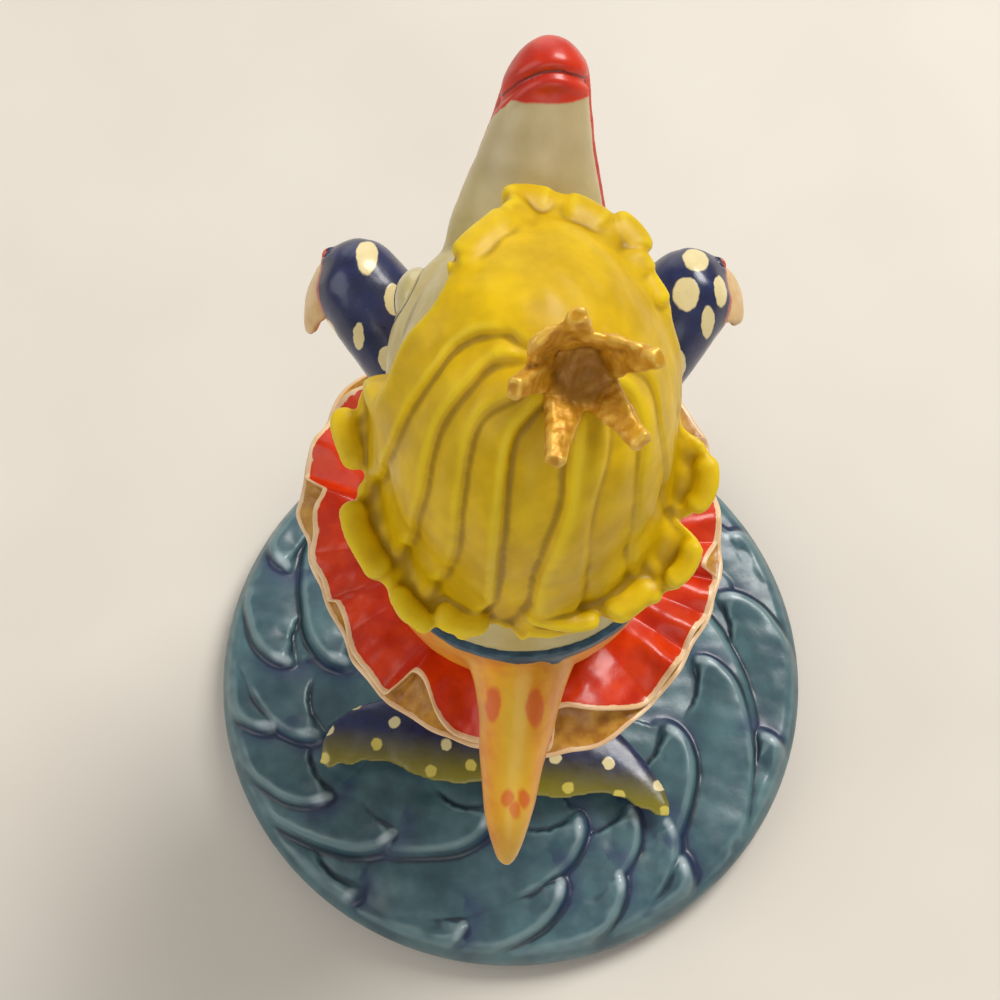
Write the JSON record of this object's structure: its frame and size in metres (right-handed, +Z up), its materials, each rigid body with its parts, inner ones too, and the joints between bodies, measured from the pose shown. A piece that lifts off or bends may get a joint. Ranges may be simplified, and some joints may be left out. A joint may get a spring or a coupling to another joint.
{
  "type": "dolphin figurine",
  "caption": "Painted resin figurine of an upright dolphin in a flip wig, crown, dotted sleeves and ruffle, standing on its tail on a round wave base.",
  "frame": {"origin": "centre of the felt pad's underside", "axes": "+Z up, the dolphin looks along -Y, its left side is +X"},
  "size_m": [0.102, 0.102, 0.168],
  "materials": {
    "felt": "matte green felt",
    "wave_paint": "blue-teal glaze over resin, pale foam on the crests, glossy",
    "steel": "plain steel rod",
    "navy_paint": "navy with cream dots, olive to yellow at the fluke edges, glossy",
    "dowel": "plain dowel",
    "bodice_paint": "orange-yellow with red-orange spots, glossy",
    "skin_paint": "cream, semi-gloss, red lips and a dark eye line",
    "hair_paint": "glossy yellow",
    "gold_paint": "rough gold paint",
    "ruffle_paint": "glossy red with a cream edge and an ochre underside",
    "cream_paint": "cream, semi-gloss"
  },
  "bodies": {
    "root": {"felt_pad": "felt", "wave_base": "wave_paint", "tail_rod": "steel", "tail_stock": "navy_paint", "left_fluke": "navy_paint", "right_fluke": "navy_paint", "waist_pin": "dowel", "torso": "bodice_paint", "dorsal_fin": "bodice_paint", "dorsal_pin": "dowel", "neck_pin": "dowel", "head": "skin_paint", "lower_jaw": "skin_paint", "left_eye": "skin_paint", "right_eye": "skin_paint", "wig": "hair_paint", "crown": "gold_paint", "crown_pin": "steel", "ruffle": "ruffle_paint", "left_sleeve": "navy_paint", "right_sleeve": "navy_paint", "left_flipper": "cream_paint", "right_flipper": "cream_paint", "left_shoulder_pin": "dowel", "right_shoulder_pin": "dowel"}
  },
  "joints": []
}
